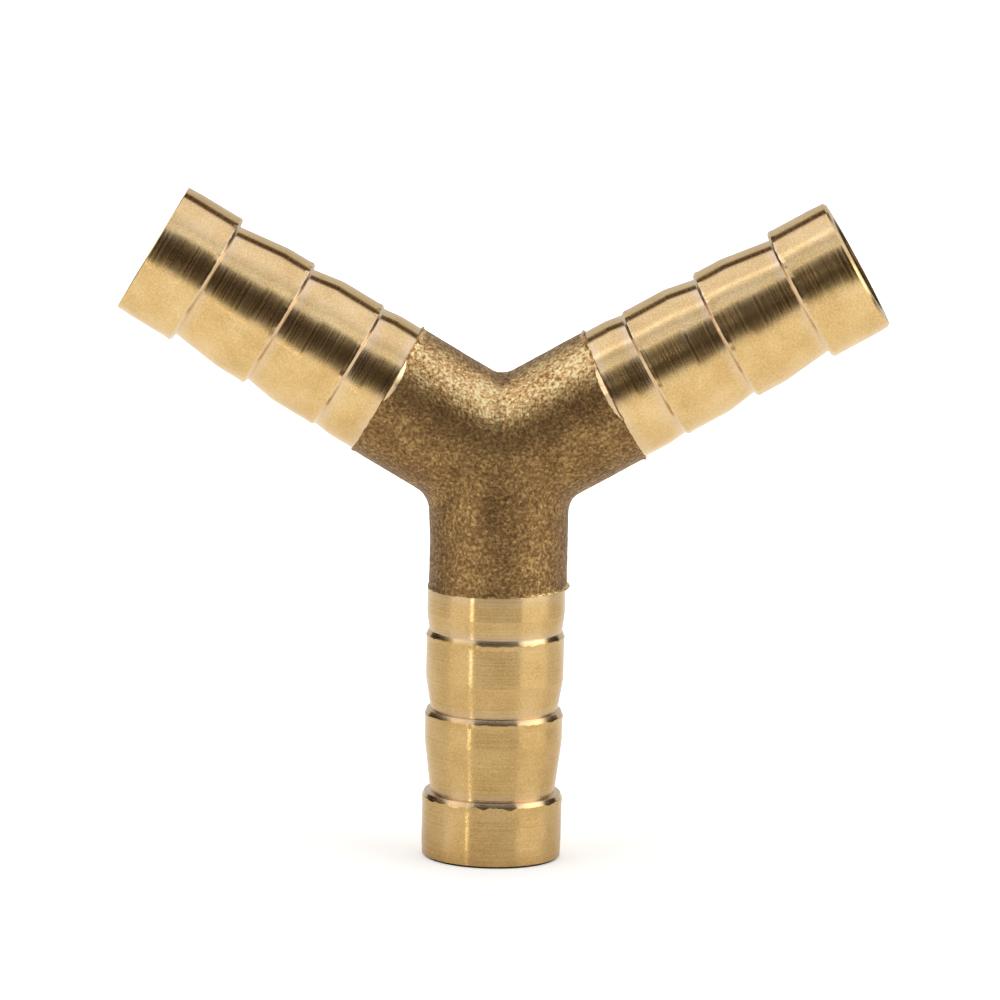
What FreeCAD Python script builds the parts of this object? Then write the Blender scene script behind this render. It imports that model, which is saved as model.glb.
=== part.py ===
import FreeCAD, Part
import math
import os

# Brass hose barb Y: one hot forging whose three equal branches lie 120 degrees
# apart in the XZ plane. The foot of the lower branch stands on z = 0, its axis
# is the Z axis, and the origin is the middle of the foot. All sizes are in mm.

# Forged hub
neck_diameter = 12.4
neck_length = 11.6
crotch_fillet_radius = 2.1
branch_angle = 120.0

# Burr that the turning tool rolled up where the forged skin ends
burr_height = 0.13
burr_length = 0.45

# Turned barbs, each one a straight land and a taper that drops to the next shoulder.
# The tool's side cuts each shoulder as a short steep cone from the taper up to the next crest.
crest_diameter = 12.2
shoulder_rise_length = 0.2
first_barb_length = 4.05
first_land_length = 2.45
first_taper_drop = 0.20
second_barb_length = 7.1
second_land_length = 4.3
second_taper_drop = 0.46
third_barb_length = 7.45
third_land_length = 2.8
third_taper_drop = 0.58

# Plain collar at the open end, eased towards the end face
collar_diameter = 12.4
collar_length = 5.7
collar_ease_length = 1.5
collar_ease_drop = 0.06
end_edge_break = 0.15

# Bores, drilled from the three ends until they meet
bore_diameter = 8.7
bore_overrun = 0.4
bore_mouth_chamfer = 0.2
drill_point_angle = 118.0

# Places along a branch, measured from the centre where the three axes meet
neck_radius = neck_diameter / 2
crest_radius = crest_diameter / 2
collar_radius = collar_diameter / 2
bore_radius = bore_diameter / 2
burr_start = neck_length - burr_length
first_shoulder = neck_length + first_barb_length
second_shoulder = first_shoulder + second_barb_length
third_shoulder = second_shoulder + third_barb_length
branch_length = third_shoulder + collar_length

# The lower branch hangs below the centre, so the centre is one branch above the foot
centre = FreeCAD.Vector(0, 0, branch_length)
across = FreeCAD.Vector(0, 1, 0)
branch_turns = (0.0, branch_angle, -branch_angle)


def branch_point(along, radius):
    """A point of the lower branch's section, seen in the XZ plane."""
    return FreeCAD.Vector(radius, 0, centre.z - along)


def on_every_branch(shape):
    """Copies of a shape of the lower branch, turned onto each branch."""
    copies = []
    for turn in branch_turns:
        copy = shape.copy()
        copy.rotate(centre, across, turn)
        copies.append(copy)
    return copies


def turned(edges):
    """The solid that a closed section makes about the lower branch's axis."""
    section = Part.Face(Part.Wire(edges))
    return section.revolve(centre, FreeCAD.Vector(0, 0, 1), 360)


def polyline(points):
    """Straight edges from each point to the next."""
    return [Part.LineSegment(a, b).toShape() for a, b in zip(points, points[1:])]


def forged_hub():
    """Three round necks that meet at the centre, with the creases between them rounded."""
    neck = Part.makeCylinder(neck_radius, burr_start, centre, FreeCAD.Vector(0, 0, -1))
    necks = on_every_branch(neck)
    hub = necks[0].fuse(necks[1:]).removeSplitter()
    creases = [edge for edge in hub.Edges if isinstance(edge.Curve, Part.Ellipse)]
    return hub.makeFillet(crotch_fillet_radius, creases)


def burr_edge():
    """Arc that leaves the neck's skin tangent and flares out to the burr's lip."""
    flare_radius = (burr_length ** 2 + burr_height ** 2) / (2 * burr_height)
    half_length = burr_length / 2
    half_rise = flare_radius - math.sqrt(flare_radius ** 2 - half_length ** 2)
    start = branch_point(burr_start, neck_radius)
    middle = branch_point(burr_start + half_length, neck_radius + half_rise)
    lip = branch_point(neck_length, neck_radius + burr_height)
    return Part.Arc(start, middle, lip).toShape()


def barb_points(root, rise_length, length, land_length, taper_drop):
    """Section of one barb: its shoulder's crest, its land, then its taper to the next root."""
    return [
        branch_point(root + rise_length, crest_radius),
        branch_point(root + land_length, crest_radius),
        branch_point(root + length, crest_radius - taper_drop),
    ]


def barbed_end():
    """Turned end of the lower branch: burr, three barbs and the plain collar."""
    outline = [branch_point(neck_length, neck_radius + burr_height)]
    rise = shoulder_rise_length
    outline += barb_points(neck_length, 0, first_barb_length, first_land_length, first_taper_drop)
    outline += barb_points(
        first_shoulder, rise, second_barb_length, second_land_length, second_taper_drop)
    outline += barb_points(
        second_shoulder, rise, third_barb_length, third_land_length, third_taper_drop)
    eased_radius = collar_radius - collar_ease_drop
    outline += [
        branch_point(third_shoulder + rise, collar_radius),
        branch_point(branch_length - collar_ease_length, collar_radius),
        branch_point(branch_length - end_edge_break, eased_radius),
        branch_point(branch_length, eased_radius - end_edge_break),
        branch_point(branch_length, 0),
        branch_point(burr_start, 0),
        branch_point(burr_start, neck_radius),
    ]
    return turned([burr_edge()] + polyline(outline))


def drilled_bore():
    """What the drill removes from the lower branch: mouth chamfer, bore and drill point."""
    past_end = 1.0
    point_length = bore_radius / math.tan(math.radians(drill_point_angle / 2))
    mouth_radius = bore_radius + bore_mouth_chamfer
    outline = [
        branch_point(-bore_overrun - point_length, 0),
        branch_point(-bore_overrun, bore_radius),
        branch_point(branch_length - bore_mouth_chamfer, bore_radius),
        branch_point(branch_length, mouth_radius),
        branch_point(branch_length + past_end, mouth_radius),
        branch_point(branch_length + past_end, 0),
    ]
    return turned(polyline(outline + outline[:1]))


def y_connector():
    """The finished fitting: forged hub and turned ends in one piece, then drilled."""
    body = forged_hub().fuse(on_every_branch(barbed_end()))
    body = body.cut(on_every_branch(drilled_bore())).removeSplitter()
    return body.Solids[0]


connector = y_connector()
os.makedirs("parts", exist_ok=True)
connector.exportStep("parts/y_connector_body.step")

box = connector.BoundBox
print("solid is valid:", connector.isValid(), "faces:", len(connector.Faces))
print("size:", round(box.XLength, 3), round(box.YLength, 3), round(box.ZLength, 3))
print("volume:", round(connector.Volume, 2))
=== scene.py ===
import math
import bpy
import bmesh
from mathutils import Matrix, Vector, noise


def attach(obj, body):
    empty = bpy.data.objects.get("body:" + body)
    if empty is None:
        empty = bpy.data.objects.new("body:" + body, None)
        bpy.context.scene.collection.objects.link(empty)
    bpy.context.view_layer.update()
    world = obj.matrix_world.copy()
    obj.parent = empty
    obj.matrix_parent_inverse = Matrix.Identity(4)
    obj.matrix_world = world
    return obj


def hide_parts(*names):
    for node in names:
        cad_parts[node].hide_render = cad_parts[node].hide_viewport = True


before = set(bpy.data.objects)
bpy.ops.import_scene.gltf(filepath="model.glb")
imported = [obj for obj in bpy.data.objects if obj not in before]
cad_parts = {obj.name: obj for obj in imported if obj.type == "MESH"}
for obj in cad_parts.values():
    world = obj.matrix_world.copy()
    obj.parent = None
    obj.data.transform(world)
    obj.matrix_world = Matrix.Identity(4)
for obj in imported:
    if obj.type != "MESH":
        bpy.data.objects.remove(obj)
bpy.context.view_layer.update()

# The hub
# One hot brass forging: three round necks pressed between two dies and meeting at 120 degrees.
# The creases between the necks are rounded, and the whole skin is shot-blasted and left dull.
mm = 0.001
branch_length = 35.9 * mm
neck_radius = 6.2 * mm
neck_length = 11.6 * mm
crotch_radius = 2.1 * mm
die_gap_growth = 0.07 * mm
lump_size = 1.6 * mm
lump_height = 0.03 * mm
pit_size = 0.5 * mm
pit_depth = 0.02 * mm
centre = Vector((0, 0, branch_length))
depth_axis = Vector((0, 1, 0))

# Each branch turns the lower one about the centre. As in the photograph, the trim of its skin
# leans to one side, and the skin of the lower branch is a little thinner and off its axis.
branch_names = ("foot", "left", "right")
branch_angle = 120
branch_turn = {"foot": 0, "left": branch_angle, "right": -branch_angle}
half_opening = math.radians(branch_angle / 2)
skin_lean = {"foot": -0.12 * mm, "left": -0.11 * mm, "right": 0.24 * mm}
foot_skin_offset = 0.10 * mm
foot_skin_thinning = 0.10 * mm
foot_skin_start = 3.5 * mm
foot_skin_full = 7.5 * mm

# How finely the mesh is cut: columns around a branch, and rows along its crease and skin.
columns = 232
crotch_rows = 6
skin_rows = 44

# The mesh of all three branches, and the finish of each face by its place in the piece's materials.
points = []
faces = []
finishes = []
ring_uvs = []
FORGED = 0
TURNED = 1
BORE_AND_PAINTED_SHADE = 2


def branch_directions(name):
    """The branch's axis, and the direction across it in the plane of the Y."""
    turn = Matrix.Rotation(math.radians(branch_turn[name]), 3, "Y")
    return turn @ Vector((0, 0, -1)), turn @ Vector((1, 0, 0))


def around(side, angle):
    """The direction square to a branch's axis at an angle from its side direction."""
    return side * math.cos(angle) + depth_axis * math.sin(angle)


def crease_angle(angle):
    """How far an angle lies from the nearer crotch, from 0 there to a right angle at the front."""
    folded = abs((angle + math.pi) % (2 * math.pi) - math.pi)
    return min(folded, math.pi - folded)


def smooth_share(value, start, end):
    """How far a value has come from a start to an end, from 0 to 1 with soft ends."""
    share = min(1, max(0, (value - start) / (end - start)))
    return share * share * (3 - 2 * share)


def forged_point(place, normal):
    """A point of the blasted skin: pressed a little thick across the dies, and uneven."""
    soft_lumps = lump_height * noise.noise(place / lump_size)
    pits = pit_depth * noise.noise(place / pit_size)
    growth = die_gap_growth * normal.y ** 2
    below = smooth_share(centre.z - place.z, foot_skin_start, foot_skin_full)
    sideways = foot_skin_offset - foot_skin_thinning * place.x / neck_radius
    return place + normal * (growth + soft_lumps + pits) + Vector((below * sideways, 0, 0))


def crotch_points(axis, side, angle):
    """Points of the rounded crease beside one branch, from the middle of the crease to the neck."""
    toward = side if math.cos(angle) >= 0 else -side
    theta = crease_angle(angle)
    bisector = axis * math.cos(half_opening) + toward * math.sin(half_opening)
    depth = math.copysign(math.sin(theta), math.sin(angle))
    ball_track = (neck_radius + crotch_radius) / math.sin(half_opening) * math.cos(theta)
    ball = centre + bisector * ball_track + depth_axis * (neck_radius + crotch_radius) * depth
    neck_normal = toward * math.cos(theta) + depth_axis * depth
    middle = bisector * math.sin(half_opening) * math.cos(theta) + depth_axis * depth
    middle.normalize()
    row = []
    for step in range(crotch_rows + 1):
        normal = middle.lerp(neck_normal, step / crotch_rows).normalized()
        row.append((ball - normal * crotch_radius, normal))
    return row


def neck_start(angle):
    """How far from the centre the rounded crease ends and the plain neck begins."""
    reach = (neck_radius + crotch_radius) * math.cos(crease_angle(angle))
    return reach / math.tan(half_opening)


# The burr
# The ragged lip at the edge of the forged skin, where the turning stops.
# On the front of the two upper branches a bright crescent of bare metal cuts into the skin.
burr_length = 0.45 * mm
burr_height = 0.11 * mm
burr_wander = 0.08 * mm
burr_foot = 0.09 * mm
burr_rows = 6

# The lip's height around the branch, in shares of the burr's height.
usual_lip = 0.9
uneven_lip = 1.3
lowest_lip = 0.1

# The flare and the crescents are placed in degrees around a branch, from its side direction.
full_turn = 360
flare_height = {"foot": 0.20 * mm, "left": 0.06 * mm, "right": 0.05 * mm}
flare_side = {"foot": 0, "left": 180, "right": 0}
flare_narrowness = 12
crescent_length = 0.42 * mm
crescent_height = 0.17 * mm
crescent_middle = {"left": -108, "right": -78}
crescent_half_width = {"left": 19, "right": 26}
crescent_calm = 0.8

# The sizes of the tears are in millimetres, and each branch has seeds of its own.
coarse_tear = 0.9
fine_tear = 0.4
fine_tear_share = 0.6
lip_tear = 0.7
skin_end_seeds = {"foot": 40, "left": 57, "right": 74}
lip_seeds = {"foot": 90, "left": 103, "right": 116}


def ring_noise(radius, angle, size, seed):
    """Noise around a branch at one angle, in patches of a size in millimetres."""
    ring = Vector((math.cos(angle), math.sin(angle), 0)) * radius / mm
    return noise.noise(ring / size + Vector((0, 0, seed)))


def skin_end(name, angle):
    """Where the forged skin stops: leaning to one side, with a torn edge."""
    coarse = ring_noise(neck_radius, angle, coarse_tear, skin_end_seeds[name])
    fine = ring_noise(neck_radius, angle, fine_tear, skin_end_seeds[name])
    torn = burr_wander * (coarse + fine_tear_share * fine)
    calm = 1 - crescent_calm * crescent(name, angle)
    return neck_length + skin_lean[name] * math.cos(angle) + torn * calm


def crescent(name, angle):
    """How far the bright crescent is formed at an angle, from 0 to 1."""
    if name not in crescent_middle:
        return 0
    away = abs(math.degrees(angle) - full_turn - crescent_middle[name])
    return max(0, 1 - (away / crescent_half_width[name]) ** 2)


def lip_height(name, angle):
    """Height of the rolled lip above the skin, uneven around the branch."""
    torn = ring_noise(neck_radius, angle, lip_tear, lip_seeds[name])
    rolled = burr_height * max(lowest_lip, usual_lip + uneven_lip * torn)
    beside = max(0, math.cos(angle - math.radians(flare_side[name])))
    flare = flare_height[name] * beside ** flare_narrowness
    bright = crescent(name, angle)
    return (rolled + flare) * (1 - bright) + crescent_height * bright


def burr_points(name, angle):
    """Points of the lip, rising from the skin up to its edge."""
    stop = skin_end(name, angle)
    lip = lip_height(name, angle)
    bright = crescent(name, angle)
    length = burr_length * (1 - bright) + crescent_length * bright
    section = []
    for step in range(1, burr_rows + 1):
        share = step / burr_rows
        rise = share ** (2 - bright)
        finish = TURNED if share > 1 - bright else FORGED
        section.append((stop - length * (1 - share), neck_radius + lip * rise, finish))
    return length, section


# The barbed ends
# Turned from the forging: three barbs, each a straight land and a taper that drops to the next
# shoulder, then a plain collar. A shoulder is a small step and a steep cone with a ragged lip.
crest_radius = 6.1 * mm
collar_radius = 6.2 * mm
step_length = 0.05 * mm
cone_length = {"foot": 0.43 * mm, "left": 0.22 * mm, "right": 0.22 * mm}
cone_drop = 0.16 * mm
crest_lip = 0.04 * mm
crest_lip_length = 0.4 * mm
crest_raggedness = {"foot": 0.22 * mm, "left": 0.08 * mm, "right": 0.10 * mm}
inner_raggedness = 0.5
crest_unevenness = 1.6
crest_tear = 0.35
crest_tear_share = 0.5
crest_seeds = {"foot": 0, "left": 31, "right": 62}
crest_seed_step = 11
barbs = (
    {"length": 4.05 * mm, "land": 2.45 * mm, "drop": 0.20 * mm},
    {"length": 7.1 * mm, "land": 4.3 * mm, "drop": 0.46 * mm},
    {"length": 7.45 * mm, "land": 2.8 * mm, "drop": 0.58 * mm},
)
collar_ease_length = 1.5 * mm
collar_ease_drop = 0.06 * mm
end_edge_break = {"foot": 0.20 * mm, "left": 0.08 * mm, "right": 0.22 * mm}

# The turned forms sit a little differently on each branch, and the two upper ends are shorter.
tool_shift = {"foot": -0.18 * mm, "left": -0.20 * mm, "right": -0.20 * mm}
faced_off = {"foot": 0, "left": 0.20 * mm, "right": 0.08 * mm}

# Radii of the corners: the bend of each barb, the root that the tool's nose left, worn edges.
bend_radius = 4 * mm
root_radius = 0.04 * mm
edge_radius = 0.05 * mm
corner_steps = 3


def crest_edge(name, shoulder, angle):
    """How high the lip of a crest stands, and how far it hangs over the cone, around the branch."""
    seed = crest_seed_step * shoulder + crest_seeds[name]
    coarse = ring_noise(crest_radius, angle, coarse_tear, seed)
    torn = coarse + crest_tear_share * ring_noise(crest_radius, angle, crest_tear, seed)
    ragged = crest_raggedness[name] * (1 if shoulder == len(barbs) else inner_raggedness)
    return crest_lip * max(0, 1 + crest_unevenness * torn), ragged * torn


def rounded(corners):
    """A section's points, with each inner corner eased to its own radius in short steps."""
    # A corner gives its place along the axis, its distance from it, its radius and its finish.
    section = [(*corners[0][:2], corners[0][3])]
    for before, corner, after in zip(corners, corners[1:], corners[2:]):
        here = Vector(corner[:2])
        back = (Vector(before[:2]) - here).normalized()
        ahead = (Vector(after[:2]) - here).normalized()
        reach = corner[2] * math.tan((math.pi - back.angle(ahead)) / 2)
        for step in range(corner_steps + 1):
            share = step / corner_steps
            place = here + back * reach * (1 - share) ** 2 + ahead * reach * share ** 2
            section.append((*place, corner[3]))
    section.append((*corners[-1][:2], corners[-1][3]))
    return section


# The bores
# Drilled from the three ends until they meet in the middle of the hub, with a broken edge at
# each mouth. The wall is smoother than the forging and duller than the turned ends, and it is
# painted darker: painted shade inside the bore.
bore_radius = 4.35 * mm
mouth_chamfer = 0.20 * mm
bore_rows = 8


def spread(start, end, steps):
    """Evenly spaced values after the start, up to and with the end."""
    return [start + (end - start) * step / steps for step in range(1, steps + 1)]


def turned_profile(name, angle):
    """Section of one turned end at one angle, from the burr's foot to the middle of the bore."""
    stop = skin_end(name, angle)
    corners = [
        (stop, crest_radius, 0, FORGED),
        (stop + burr_foot, crest_radius, 0, FORGED)]
    root = neck_length + tool_shift[name]
    for number, barb in enumerate(barbs, 1):
        bend = root + barb["land"]
        root += barb["length"]
        crest = collar_radius if number == len(barbs) else crest_radius
        lip, overhang = crest_edge(name, number, angle)
        edge = root + step_length + cone_length[name] + overhang
        corners.append((bend, crest_radius, bend_radius, TURNED))
        corners.append((root, crest_radius - barb["drop"], root_radius, TURNED))
        corners.append((root + step_length, crest - cone_drop, root_radius, TURNED))
        corners.append((edge, crest + lip, edge_radius, TURNED))
        corners.append((edge + crest_lip_length, crest, crest_lip_length, TURNED))
    tip = branch_length - faced_off[name]
    eased = collar_radius - collar_ease_drop
    corners.append((tip - collar_ease_length, collar_radius, bend_radius, TURNED))
    edge_break = end_edge_break[name]
    corners.append((tip - edge_break, eased, edge_radius, TURNED))
    # The foot's broken edge takes the dark drilled finish: a painted contact shadow at the table.
    corners.append((tip, eased - edge_break, edge_radius, BORE_AND_PAINTED_SHADE if name == "foot" else TURNED))
    corners.append((tip, bore_radius + mouth_chamfer, 0, TURNED))
    corners.append((tip - mouth_chamfer, bore_radius, 0, BORE_AND_PAINTED_SHADE))
    deepest = bore_radius * math.cos(crease_angle(angle)) / math.tan(half_opening)
    section = rounded(corners)
    section += [(s, bore_radius, BORE_AND_PAINTED_SHADE) for s in spread(tip - mouth_chamfer, deepest, bore_rows)]
    return section


def branch_column(name, angle):
    """All points of one branch at one angle, from the crotch out over the end and into the bore."""
    axis, side = branch_directions(name)
    outward = around(side, angle)
    column = [(forged_point(p, n), FORGED) for p, n in crotch_points(axis, side, angle)]
    length, burr = burr_points(name, angle)
    skin = [(s, neck_radius, FORGED)
            for s in spread(neck_start(angle), skin_end(name, angle) - length, skin_rows)]
    for along, radius, finish in skin + burr:
        place = centre + axis * along + outward * radius
        column.append((forged_point(place, outward), finish))
    for along, radius, finish in turned_profile(name, angle):
        column.append((centre + axis * along + outward * radius, finish))
    return column


# The map's height counts the radius too, so that shoulders and end faces have a stretch of it,
# and each branch has its own part of the map.
radius_share = 0.7
branch_step = 7

# Points nearer than the weld distance are one, and faces that meet more sharply keep their edge.
weld_distance = 0.0004 * mm
sharp_angle = math.radians(28)


def turning_uv(name, sheet, across, rung):
    """Map place of a corner: the share of a turn, and the distance along the section."""
    offset = sheet[across % columns][rung][0] - centre
    along = offset.dot(branch_directions(name)[0])
    from_axis = math.sqrt(max(0, offset.length_squared - along ** 2))
    height = (along + radius_share * from_axis) / branch_length
    return across / columns, height + branch_step * branch_names.index(name)


for name in branch_names:
    first_point = len(points)
    angles = [2 * math.pi * number / columns for number in range(columns)]
    sheet = [branch_column(name, angle) for angle in angles]
    height = len(sheet[0])
    for column in sheet:
        points += [place for place, finish in column]
    for number in range(columns):
        here = first_point + number * height
        beyond = first_point + (number + 1) % columns * height
        for row in range(height - 1):
            faces.append((here + row, here + row + 1, beyond + row + 1, beyond + row))
            finishes.append(sheet[number][row + 1][1])
            corners = ((number, row), (number, row + 1), (number + 1, row + 1), (number + 1, row))
            ring_uvs.append([turning_uv(name, sheet, across, rung) for across, rung in corners])

fitting_mesh = bpy.data.meshes.new("y_connector")
fitting_mesh.from_pydata(points, [], faces)
fitting_mesh.polygons.foreach_set("material_index", finishes)
fitting_mesh.polygons.foreach_set("use_smooth", [True] * len(faces))
turning_map = fitting_mesh.uv_layers.new(name="turning")
turning_map.data.foreach_set("uv", [c for face in ring_uvs for corner in face for c in corner])
skin = bmesh.new()
skin.from_mesh(fitting_mesh)
bmesh.ops.remove_doubles(skin, verts=skin.verts, dist=weld_distance)
bmesh.ops.recalc_face_normals(skin, faces=skin.faces)
skin.to_mesh(fitting_mesh)
skin.free()
fitting_mesh.set_sharp_from_angle(angle=sharp_angle)
fitting = bpy.data.objects.new("y_connector", fitting_mesh)
bpy.context.scene.collection.objects.link(fitting)
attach(fitting, "root")
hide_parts("y_connector_body")


def linear(hex_colour):
    """An sRGB hex colour as the linear colour that the shaders take."""
    channels = [int(hex_colour[i:i + 2], 16) / 255 for i in (1, 3, 5)]
    shares = [c / 12.92 if c <= 0.04045 else ((c + 0.055) / 1.055) ** 2.4 for c in channels]
    return (*shares, 1)


def add_node(tree, kind, settings={}, inputs={}):
    """A shader node with its settings, and each input given as a value or as a link."""
    node = tree.nodes.new(kind)
    for key, value in settings.items():
        setattr(node, key, value)
    for key, value in inputs.items():
        if isinstance(value, bpy.types.NodeSocket):
            tree.links.new(value, node.inputs[key])
        else:
            node.inputs[key].default_value = value
    return node


def new_material(name):
    """An empty node material with its output."""
    material = bpy.data.materials.new(name)
    material.use_nodes = True
    tree = material.node_tree
    tree.nodes.clear()
    return material, tree, tree.nodes.new("ShaderNodeOutputMaterial")


def colour_steps(node, steps):
    """Sets a colour ramp's stops from pairs of a place and a hex colour."""
    ramp = node.color_ramp
    while len(ramp.elements) < len(steps):
        ramp.elements.new(0.5)
    for element, (place, colour) in zip(ramp.elements, steps):
        element.position = place
        element.color = linear(colour)


# Forged brass, shot-blasted: a dull brown-gold skin of small dents, some a little brighter than
# others. The dents are a quarter of a millimetre wide, about as coarse as in the photograph. The
# slopes that look upwards carry a painted highlight, after its bright V: the reflection of the
# light overhead painted into the colour, so that it stays in any light.
grain_size = 0.30 * mm
dent_size = 0.24 * mm
dent_depth = 0.034 * mm
stain_size = 2.4 * mm
stain_share = 0.25
dent_share = 0.12
slope_polish = 0.14
forged, tree, output = new_material("forged_blasted_brass")
place = add_node(tree, "ShaderNodeTexCoord").outputs["Object"]
grain = add_node(tree, "ShaderNodeTexNoise", {}, {
    "Vector": place, "Scale": 1 / grain_size, "Detail": 3.0, "Roughness": 0.7})
dents = add_node(tree, "ShaderNodeTexVoronoi", {"feature": "F1"}, {
    "Vector": place, "Scale": 1 / dent_size})
stain = add_node(tree, "ShaderNodeTexNoise", {}, {
    "Vector": place, "Scale": 1 / stain_size, "Detail": 4.0})
dent_tone = add_node(tree, "ShaderNodeSeparateColor", {}, {0: dents.outputs["Color"]})
mottle = add_node(tree, "ShaderNodeMath", {"operation": "MULTIPLY_ADD"}, {
    0: stain.outputs["Fac"], 1: stain_share, 2: grain.outputs["Fac"]})
speckle = add_node(tree, "ShaderNodeMath", {"operation": "MULTIPLY_ADD"}, {
    0: dent_tone.outputs[0], 1: dent_share, 2: mottle.outputs[0]})
skin_colour = add_node(tree, "ShaderNodeValToRGB", {}, {"Fac": speckle.outputs[0]})
colour_steps(skin_colour, ((0.45, "#624A2E"), (0.69, "#947248"), (0.93, "#D0AB70")))
painted_highlight_colour = add_node(tree, "ShaderNodeValToRGB", {}, {"Fac": speckle.outputs[0]})
colour_steps(painted_highlight_colour, ((0.50, "#8C663A"), (0.69, "#E6B673"), (0.80, "#FFEBA8")))
# The painted highlight lies on the slopes that look upwards, and fades on the ridge along the top.
facing = add_node(tree, "ShaderNodeSeparateXYZ", {}, {
    0: add_node(tree, "ShaderNodeTexCoord").outputs["Normal"]})
upward = add_node(tree, "ShaderNodeMapRange", {"interpolation_type": "SMOOTHSTEP"}, {
    "Value": facing.outputs["Z"], "From Min": 0.26, "From Max": 0.54})
ridge = add_node(tree, "ShaderNodeMapRange", {"interpolation_type": "SMOOTHSTEP"}, {
    "Value": facing.outputs["Z"], "From Min": 0.78, "From Max": 0.87,
    "To Min": 1.0, "To Max": 0.15})
painted_highlight_slope = add_node(tree, "ShaderNodeMath", {"operation": "MULTIPLY"}, {
    0: upward.outputs[0], 1: ridge.outputs[0]})
forged_colour = add_node(tree, "ShaderNodeMix", {"data_type": "RGBA"}, {
    0: painted_highlight_slope.outputs[0], 6: skin_colour.outputs["Color"],
    7: painted_highlight_colour.outputs["Color"]})
dullness = add_node(tree, "ShaderNodeMapRange", {}, {
    "Value": grain.outputs["Fac"], "From Min": 0.3, "From Max": 0.7,
    "To Min": 0.56, "To Max": 0.42})
skin_gloss = add_node(tree, "ShaderNodeMath", {"operation": "MULTIPLY_ADD"}, {
    0: painted_highlight_slope.outputs[0], 1: -slope_polish, 2: dullness.outputs["Result"]})
dent_bump = add_node(tree, "ShaderNodeBump", {}, {
    "Height": dents.outputs["Distance"], "Strength": 1.0, "Distance": dent_depth})
shader = add_node(tree, "ShaderNodeBsdfPrincipled", {}, {
    "Base Color": forged_colour.outputs[2], "Metallic": 1.0,
    "Roughness": skin_gloss.outputs[0], "Normal": dent_bump.outputs["Normal"]})
tree.links.new(shader.outputs[0], output.inputs["Surface"])


# Turned brass, uncoated: pale bright gold whose fine tool rings draw each reflection out along
# the branch. The rings are drawn coarser than the usual feed of 0.1 mm, so that they show.
ring_spacing = 0.22 * mm
ring_depth = 0.0046 * mm
band_width = 0.9 * mm
band_depth = 0.010 * mm
tarnish_size = 3.0 * mm
speck_size = 0.16 * mm
speck_share = 0.6
pale_and_highlight_brass = "#F6DEBF"
lower_painted_shade = "#EAE7E1"
groove_stretch = 0.95
quarter_turn = 0.25
turned, tree, output = new_material("turned_bright_brass")
place = add_node(tree, "ShaderNodeTexCoord").outputs["Object"]
offset = add_node(tree, "ShaderNodeVectorMath", {"operation": "SUBTRACT"}, {
    0: place, 1: centre})
reach = []
for name in branch_names:
    axis, side = branch_directions(name)
    reach.append(add_node(tree, "ShaderNodeVectorMath", {"operation": "DOT_PRODUCT"}, {
        0: offset.outputs[0], 1: axis}).outputs["Value"])
longer = add_node(tree, "ShaderNodeMath", {"operation": "MAXIMUM"}, {0: reach[0], 1: reach[1]})
along = add_node(tree, "ShaderNodeMath", {"operation": "MAXIMUM"}, {
    0: longer.outputs[0], 1: reach[2]})
rings = add_node(tree, "ShaderNodeTexNoise", {"noise_dimensions": "1D"}, {
    "W": along.outputs[0], "Scale": 1 / ring_spacing, "Detail": 3.0, "Roughness": 0.6})
bands = add_node(tree, "ShaderNodeTexNoise", {"noise_dimensions": "1D"}, {
    "W": along.outputs[0], "Scale": 1 / band_width, "Detail": 1.0})
tarnish = add_node(tree, "ShaderNodeTexNoise", {}, {
    "Vector": place, "Scale": 1 / tarnish_size, "Detail": 5.0})
specks = add_node(tree, "ShaderNodeTexNoise", {}, {
    "Vector": place, "Scale": 1 / speck_size, "Detail": 2.0, "Roughness": 0.7})
blend = add_node(tree, "ShaderNodeMix", {}, {
    "Factor": speck_share, "A": tarnish.outputs["Fac"], "B": specks.outputs["Fac"]})
tone = add_node(tree, "ShaderNodeValToRGB", {}, {"Fac": blend.outputs[0]})
colour_steps(tone, ((0.36, "#DBB475"), (0.5, "#EFC988"), (0.64, "#FADAA2")))

# As in the photograph, the metal is painted paler below the burr and by each shoulder, and the
# shoulders themselves are painted palest: a painted highlight where their cones catch the light.
pale_length = 1.1 * mm
not_pale = "#000000"
half_pale = "#BCBCBC"
shoulder_painted_highlight = "#D6D6D6"
most_pale = 0.9
cut_before = 0.22 * mm
cut_after = 0.10 * mm
cut_fade = 0.05 * mm
paleness = [(neck_length, half_pale), (neck_length + pale_length, not_pale)]
root = neck_length
for barb in barbs:
    root += barb["length"]
    paleness += [
        (root - pale_length, not_pale), (root - cut_before, half_pale),
        (root - cut_before + cut_fade, shoulder_painted_highlight), (root + cut_after, shoulder_painted_highlight),
        (root + cut_after + cut_fade, not_pale)]
station = add_node(tree, "ShaderNodeMath", {"operation": "DIVIDE"}, {
    0: along.outputs[0], 1: branch_length})
pale_and_highlight_zones = add_node(tree, "ShaderNodeValToRGB", {}, {"Fac": station.outputs[0]})
colour_steps(pale_and_highlight_zones, [(place / branch_length, colour) for place, colour in paleness])
pale_and_highlight_share = add_node(tree, "ShaderNodeMath", {"operation": "MULTIPLY"}, {
    0: pale_and_highlight_zones.outputs["Color"], 1: most_pale})
turned_colour = add_node(tree, "ShaderNodeMix", {"data_type": "RGBA"}, {
    0: pale_and_highlight_share.outputs[0], 6: tone.outputs["Color"], 7: linear(pale_and_highlight_brass)})

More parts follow.
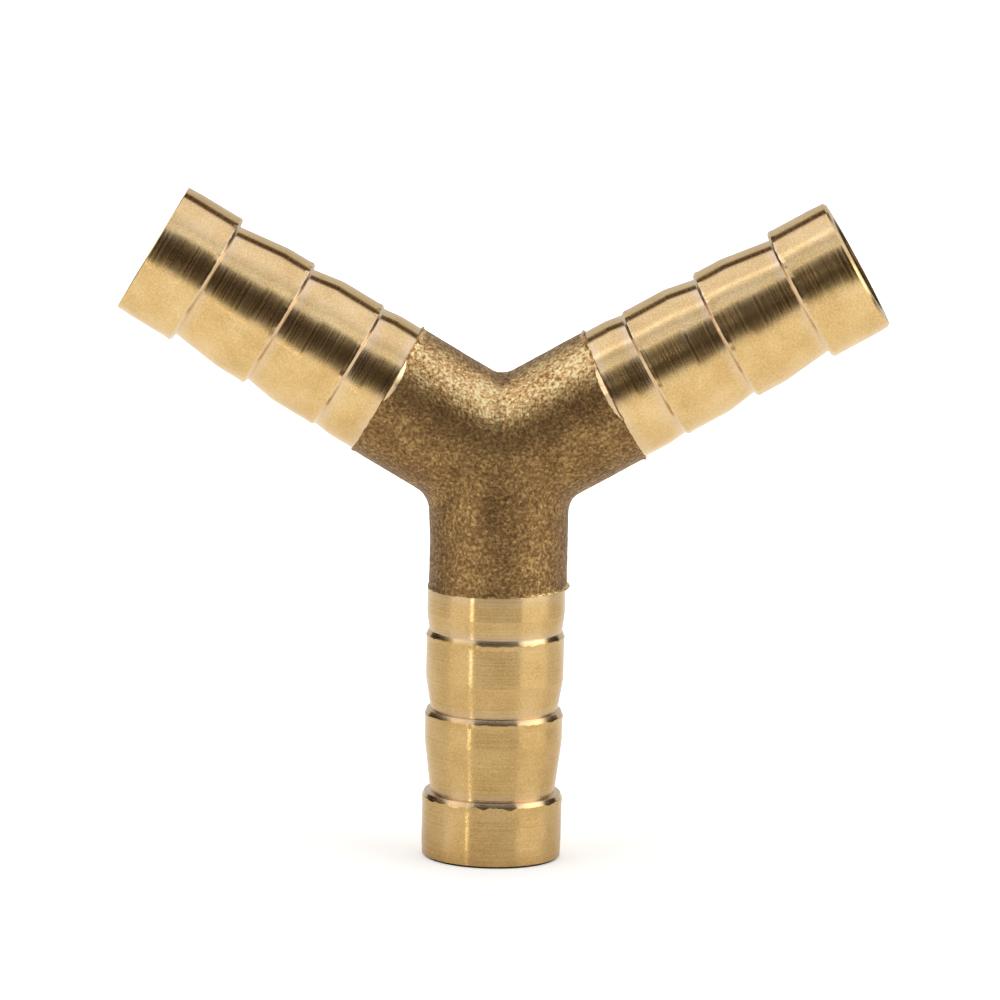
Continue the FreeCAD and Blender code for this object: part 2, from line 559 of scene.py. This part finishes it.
# The lower branch is painted a shade darker, to match the tones of the photograph: painted
# shade, for the darker surroundings that the lower branch reflects.
lower_start = neck_length - 1 * mm
lower_branch = add_node(tree, "ShaderNodeMapRange", {}, {
    "Value": reach[0], "From Min": lower_start, "From Max": neck_length})
shaded_lower_colour = add_node(tree, "ShaderNodeMix", {"data_type": "RGBA", "blend_type": "MULTIPLY"}, {
    0: lower_branch.outputs[0], 6: turned_colour.outputs[2], 7: linear(lower_painted_shade)})
ring_gloss = add_node(tree, "ShaderNodeMapRange", {}, {
    "Value": rings.outputs["Fac"], "From Min": 0.35, "From Max": 0.65,
    "To Min": 0.18, "To Max": 0.26})
band_bump = add_node(tree, "ShaderNodeBump", {}, {
    "Height": bands.outputs["Fac"], "Strength": 1.0, "Distance": band_depth})
ring_bump = add_node(tree, "ShaderNodeBump", {}, {
    "Height": rings.outputs["Fac"], "Strength": 1.0, "Distance": ring_depth,
    "Normal": band_bump.outputs["Normal"]})
grooves = add_node(tree, "ShaderNodeTangent", {"direction_type": "UV_MAP", "uv_map": "turning"})
shader = add_node(tree, "ShaderNodeBsdfPrincipled", {}, {
    "Base Color": shaded_lower_colour.outputs[2], "Metallic": 1.0, "Roughness": ring_gloss.outputs["Result"],
    "Anisotropic": groove_stretch, "Anisotropic Rotation": quarter_turn,
    "Tangent": grooves.outputs["Tangent"], "Normal": ring_bump.outputs["Normal"]})
tree.links.new(shader.outputs[0], output.inputs["Surface"])


# Drilled brass: dark, finely mottled metal inside the bores and on the broken edge of the foot,
# matched to the dark crescent and the dark rim of the photograph. The dark colour is painted
# shade inside the bores, and a painted contact shadow on the foot's edge where it meets the table.
mottle_size = 0.25 * mm
mottle_depth = 0.01 * mm
bore_and_shade_metal, tree, output = new_material("drilled_brass_painted_shade")
place = add_node(tree, "ShaderNodeTexCoord").outputs["Object"]
mottle = add_node(tree, "ShaderNodeTexNoise", {}, {
    "Vector": place, "Scale": 1 / mottle_size, "Detail": 3.0})
bore_shade_tone = add_node(tree, "ShaderNodeValToRGB", {}, {"Fac": mottle.outputs["Fac"]})
colour_steps(bore_shade_tone, ((0.3, "#3E2E1C"), (0.7, "#624C2D")))
mottle_bump = add_node(tree, "ShaderNodeBump", {}, {
    "Height": mottle.outputs["Fac"], "Strength": 0.4, "Distance": mottle_depth})
shader = add_node(tree, "ShaderNodeBsdfPrincipled", {}, {
    "Base Color": bore_shade_tone.outputs["Color"], "Metallic": 1.0, "Roughness": 0.30,
    "Normal": mottle_bump.outputs["Normal"]})
tree.links.new(shader.outputs[0], output.inputs["Surface"])

for material in (forged, turned, bore_and_shade_metal):
    fitting_mesh.materials.append(material)

# The table
# A plain sheet of white paper under the fitting, wide enough to fill the picture from every side.
# The camera sees it bleached to the white of the background, most of all far out, where the dark
# parts of the tent would shade it, and it keeps the fitting's shadow.
table_half = 2500 * mm
table_bleach = 0.34
far_bleach = 1.0
bleach_start = 130 * mm
bleach_full = 260 * mm
paper_white = "#FAFAF9"
table_mesh = bpy.data.meshes.new("table")
table_mesh.from_pydata([
    (-table_half, -table_half, 0), (table_half, -table_half, 0),
    (table_half, table_half, 0), (-table_half, table_half, 0)], [], [(0, 1, 2, 3)])
table = bpy.data.objects.new("table", table_mesh)
bpy.context.scene.collection.objects.link(table)
paper, tree, output = new_material("white_paper")
ray = add_node(tree, "ShaderNodeLightPath")
from_centre = add_node(tree, "ShaderNodeVectorMath", {"operation": "LENGTH"}, {
    0: add_node(tree, "ShaderNodeTexCoord").outputs["Object"]})
bleaching = add_node(tree, "ShaderNodeMapRange", {"interpolation_type": "SMOOTHSTEP"}, {
    "Value": from_centre.outputs["Value"], "From Min": bleach_start, "From Max": bleach_full,
    "To Min": table_bleach, "To Max": far_bleach})
bleach = add_node(tree, "ShaderNodeMath", {"operation": "MULTIPLY"}, {
    0: ray.outputs["Is Camera Ray"], 1: bleaching.outputs["Result"]})
matt = add_node(tree, "ShaderNodeBsdfDiffuse", {}, {"Color": linear(paper_white), "Roughness": 0.5})
glow = add_node(tree, "ShaderNodeEmission", {}, {
    "Color": (1, 1, 1, 1), "Strength": bleach.outputs[0]})
sum_of_both = add_node(tree, "ShaderNodeAddShader", {}, {0: matt.outputs[0], 1: glow.outputs[0]})
tree.links.new(sum_of_both.outputs[0], output.inputs["Surface"])
table_mesh.materials.append(paper)

# The light tent
# White cloth overhead and behind, soft boxes on both sides, and the dark open parts, laid out so
# that the metal shows the photograph's reflections. The camera looks past all of them.
# Screens are placed by azimuth, in degrees from the front and growing to the right. Only the
# open parts take light from the table.


def card(name, corners, radiance, colour, soft_edge, shades=False):
    """A flat card that fades at its edges. Its radiance is given where a white wall is 1."""
    mesh = bpy.data.meshes.new(name)
    mesh.from_pydata(corners, [], [(0, 1, 2, 3)])
    unfolded = mesh.uv_layers.new(name="card")
    unfolded.data.foreach_set("uv", (0, 0, 1, 0, 1, 1, 0, 1))
    sheet = bpy.data.objects.new(name, mesh)
    bpy.context.scene.collection.objects.link(sheet)
    material, tree, output = new_material(name)
    across = add_node(tree, "ShaderNodeSeparateXYZ", {}, {
        0: add_node(tree, "ShaderNodeUVMap", {"uv_map": "card"}).outputs[0]})
    fades = []
    for side in ("X", "Y"):
        inward = add_node(tree, "ShaderNodeMath", {"operation": "PINGPONG"}, {
            0: across.outputs[side], 1: 0.5})
        fades.append(add_node(tree, "ShaderNodeMapRange", {"interpolation_type": "SMOOTHSTEP"}, {
            "Value": inward.outputs[0], "From Max": soft_edge}))
    fade = add_node(tree, "ShaderNodeMath", {"operation": "MULTIPLY"}, {
        0: fades[0].outputs[0], 1: fades[1].outputs[0]})
    glow = add_node(tree, "ShaderNodeEmission", {}, {"Color": linear(colour), "Strength": radiance})
    clear = add_node(tree, "ShaderNodeBsdfTransparent")
    faded = add_node(tree, "ShaderNodeMixShader", {}, {
        0: fade.outputs[0], 1: clear.outputs[0], 2: glow.outputs[0]})
    tree.links.new(faded.outputs[0], output.inputs["Surface"])
    mesh.materials.append(material)
    sheet.visible_camera = False
    sheet.visible_diffuse = shades
    sheet.visible_shadow = shades


def overhead(name, left, right, front, back, height, radiance, soft_edge, colour):
    """A card that lies level above the fitting."""
    card(name, (
        (left, front, height), (right, front, height),
        (right, back, height), (left, back, height)), radiance, colour, soft_edge)


def screen(name, first, last, distance, low, high, radiance, soft_edge,
           colour="#FFFFFF", shades=False):
    """An upright card between two azimuths, given the height of its top at both ends."""
    ends = []
    for azimuth in (first, last):
        bearing = math.radians(azimuth)
        ends.append((math.sin(bearing) * distance, -math.cos(bearing) * distance))
    card(name, (
        (*ends[0], low), (*ends[1], low), (*ends[1], high[1]), (*ends[0], high[0])),
        radiance, colour, soft_edge, shades)


def open_part(name, first, last, high, soft_edge):
    """A dark screen where the tent is open, down to below the table."""
    screen(name, first, last, wall, below_floor, high, dark, soft_edge, warm_dark, shades=True)


dark = 0.025
warm_dark = "#FFC898"
tent_half = 420 * mm
wall = 480 * mm
back_wall = 560 * mm
roof = 350 * mm
below_floor = -60 * mm
fold_height = roof - 3 * mm
tube_height = roof - 5 * mm
overhead("front_ceiling", -tent_half, tent_half, -315 * mm, -20 * mm, roof, 0.95, 0.08, "#E4EBFF")
overhead("back_ceiling", -tent_half, tent_half, -60 * mm, 215 * mm, roof, 1.2, 0.08, "#E6EAFF")
overhead(
    "ceiling_fold", -tent_half, tent_half, -175 * mm, -115 * mm, fold_height, 0.7, 0.5, "#E4EBFF")
overhead("left_tube", -tent_half, 20 * mm, -110 * mm, 0, tube_height, 2.1, 0.5, "#E2E6FF")
overhead("right_tube", -20 * mm, tent_half, -110 * mm, 0, tube_height, 1.3, 0.5, "#DDE0FF")
open_part("tent_opening", -37, 46, (480 * mm, 425 * mm), 0.07)
screen("opening_edge", -41.5, -36.5, wall, below_floor, (150 * mm, 150 * mm), 17.0, 0.5)
screen("right_soft_box", 40, 104, wall, 0, (340 * mm, 340 * mm), 2.5, 0.3)
screen("left_soft_box", -40, -84, wall, 0, (340 * mm, 340 * mm), 1.35, 0.3)
open_part("right_dark_corner", 96, 145, (260 * mm, 260 * mm), 0.2)
open_part("left_dark_corner", -76, -145, (260 * mm, 260 * mm), 0.2)
screen("back_cloth", 125, 235, back_wall, below_floor, (300 * mm, 300 * mm), 0.62, 0.03)
screen("tent_seam", 125, 235, back_wall, 290 * mm, (560 * mm, 560 * mm), 0.07, 0.10, warm_dark)

# The diffuser over the table lights the paper evenly. The metal sees the ceiling cards instead.
diffuser_size = 240 * mm
diffuser_radiance = 1.2
diffuser_place = (0, 50 * mm, roof - 20 * mm)
lamp = bpy.data.lights.new("diffuser", "AREA")
lamp.size = diffuser_size
lamp.energy = diffuser_radiance * math.pi * diffuser_size ** 2
diffuser = bpy.data.objects.new("diffuser", lamp)
diffuser.location = diffuser_place
diffuser.visible_camera = False
diffuser.visible_glossy = False
bpy.context.scene.collection.objects.link(diffuser)

world = bpy.data.worlds.new("white_tent")
bpy.context.scene.world = world
world.use_nodes = True
tree = world.node_tree
tree.nodes.clear()
output = tree.nodes.new("ShaderNodeOutputWorld")
walls = add_node(tree, "ShaderNodeBackground", {}, {"Color": (1, 1, 1, 1), "Strength": 1.0})
tree.links.new(walls.outputs[0], output.inputs["Surface"])

# The camera
# A long lens that looks down on the fitting from a little above it and from the front, rolled by
# about a degree as in the photograph. Its place and aim come from the photograph's outlines.
camera_distance = 600 * mm
camera_azimuth = math.radians(1.2)
camera_height = math.radians(9.0)
camera_roll = math.radians(1.3)
aim_point = centre + Vector((0.12 * mm, 0, -3.89 * mm))
near_clip = 10 * mm
far_clip = 20000 * mm
sensor_width = 36.0
picture_width = 1000
pixels_per_mm = 11.33
view_back = Vector((
    math.sin(camera_azimuth) * math.cos(camera_height),
    -math.cos(camera_azimuth) * math.cos(camera_height),
    math.sin(camera_height)))
lens = bpy.data.cameras.new("camera")
lens.sensor_width = sensor_width
lens.lens = pixels_per_mm * camera_distance / mm * sensor_width / picture_width
lens.clip_start = near_clip
lens.clip_end = far_clip
camera = bpy.data.objects.new("camera", lens)
camera.location = centre + view_back * camera_distance
facing = (aim_point - camera.location).to_track_quat("-Z", "Y").to_matrix().to_4x4()
camera.matrix_world = (
    Matrix.Translation(camera.location) @ facing @ Matrix.Rotation(camera_roll, 4, "Z"))
bpy.context.scene.collection.objects.link(camera)
bpy.context.scene.camera = camera

bpy.context.scene.view_settings.view_transform = "Standard"
